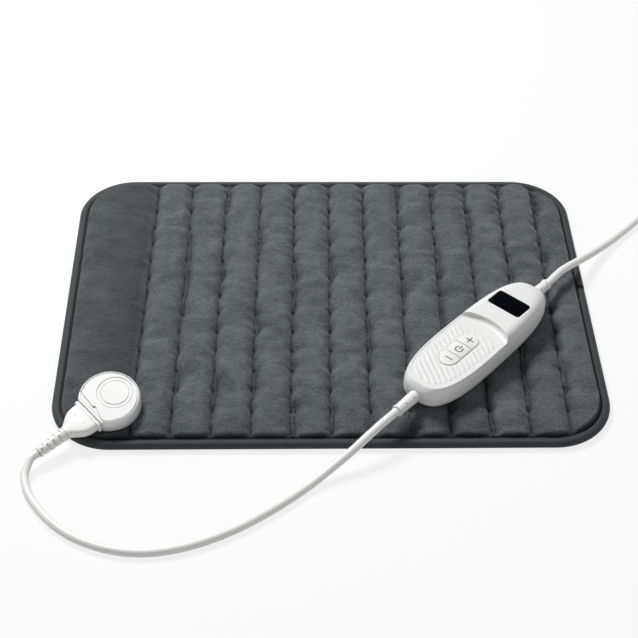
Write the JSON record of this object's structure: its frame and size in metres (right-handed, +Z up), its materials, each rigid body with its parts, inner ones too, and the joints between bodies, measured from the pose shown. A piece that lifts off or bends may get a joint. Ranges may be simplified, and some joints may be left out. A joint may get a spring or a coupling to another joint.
{
  "type": "heating pad with controller",
  "caption": "Quilted electric heating pad with rolled binding, a corner socket with pull-out plug, and a hand controller with display and press keys on a mains lead.",
  "frame": {"origin": "on the floor under the middle of the pad", "axes": "+X along the pad's long side, +Y across it away from the user, +Z up"},
  "size_m": [0.5806, 0.3946, 0.0359],
  "materials": {
    "fleece": "short brushed fleece",
    "backing_fabric": "plain knit",
    "felt": "needle felt",
    "heating_wire": "silicone insulation",
    "binding": "rolled ribbon, fine cross ribs",
    "white_shell": "satin moulded",
    "inner_plastic": "moulded",
    "black_plastic": "moulded",
    "screen": "polished dark window",
    "key": "satin, printed symbols",
    "board": "coated laminate",
    "steel": "zinc plated",
    "brass": "plated",
    "fuse_glass": "clear tube",
    "vinyl": "satin soft vinyl",
    "tie": "woven strap"
  },
  "bodies": {
    "root": {"top_cover": "fleece", "bottom_cover": "backing_fabric", "heating_carrier": "felt", "heating_wire": "heating_wire", "edge_binding": "binding", "socket_base": "white_shell", "socket_lid": "white_shell", "controller_top_shell": "white_shell", "controller_bottom_shell": "white_shell", "socket_backing_plate": "inner_plastic", "socket_contact_block": "inner_plastic", "display_module": "inner_plastic", "film_capacitor": "inner_plastic", "triac": "black_plastic", "switch_minus": "black_plastic", "switch_power": "black_plastic", "switch_plus": "black_plastic", "display_window": "screen", "circuit_board": "board", "thermal_fuse": "steel", "socket_screw_1": "steel", "socket_screw_2": "steel", "case_screw_1": "steel", "case_screw_2": "steel", "case_screw_3": "steel", "case_screw_4": "steel", "socket_pin_1": "brass", "socket_pin_2": "brass", "socket_pin_3": "brass", "mains_plug_pin_1": "brass", "mains_plug_pin_2": "brass", "mains_fuse": "fuse_glass", "front_boot": "vinyl", "rear_boot": "vinyl", "pad_cord": "vinyl", "mains_cord_run": "vinyl", "mains_cord_coil": "vinyl", "mains_cord_tail": "vinyl", "mains_plug_body": "vinyl", "coil_tie": "tie"},
    "pad_plug": {"pad_plug_body": "white_shell", "pad_plug_boot": "vinyl", "plug_contact_1": "brass", "plug_contact_2": "brass", "plug_contact_3": "brass"},
    "minus_key": {"minus_key": "key", "plunger_minus": "inner_plastic"},
    "power_key": {"power_key": "key", "plunger_power": "inner_plastic"},
    "plus_key": {"plus_key": "key", "plunger_plus": "inner_plastic"}
  },
  "joints": [
    {"name": "minus_press", "type": "slide", "parent": "root", "child": "minus_key", "axis": [0, 0, -1], "range_m": [0, 0.0007], "stiffness_N_per_m": 1500},
    {"name": "power_press", "type": "slide", "parent": "root", "child": "power_key", "axis": [0, 0, -1], "range_m": [0, 0.0007], "stiffness_N_per_m": 1500},
    {"name": "plus_press", "type": "slide", "parent": "root", "child": "plus_key", "axis": [0, 0, -1], "range_m": [0, 0.0007], "stiffness_N_per_m": 1500},
    {"name": "pad_plug_pull", "type": "slide", "parent": "root", "child": "pad_plug", "axis": [-0.7431, -0.6545, -0.1391], "range_m": [0, 0.02], "deforming": ["pad_cord"]}
  ]
}
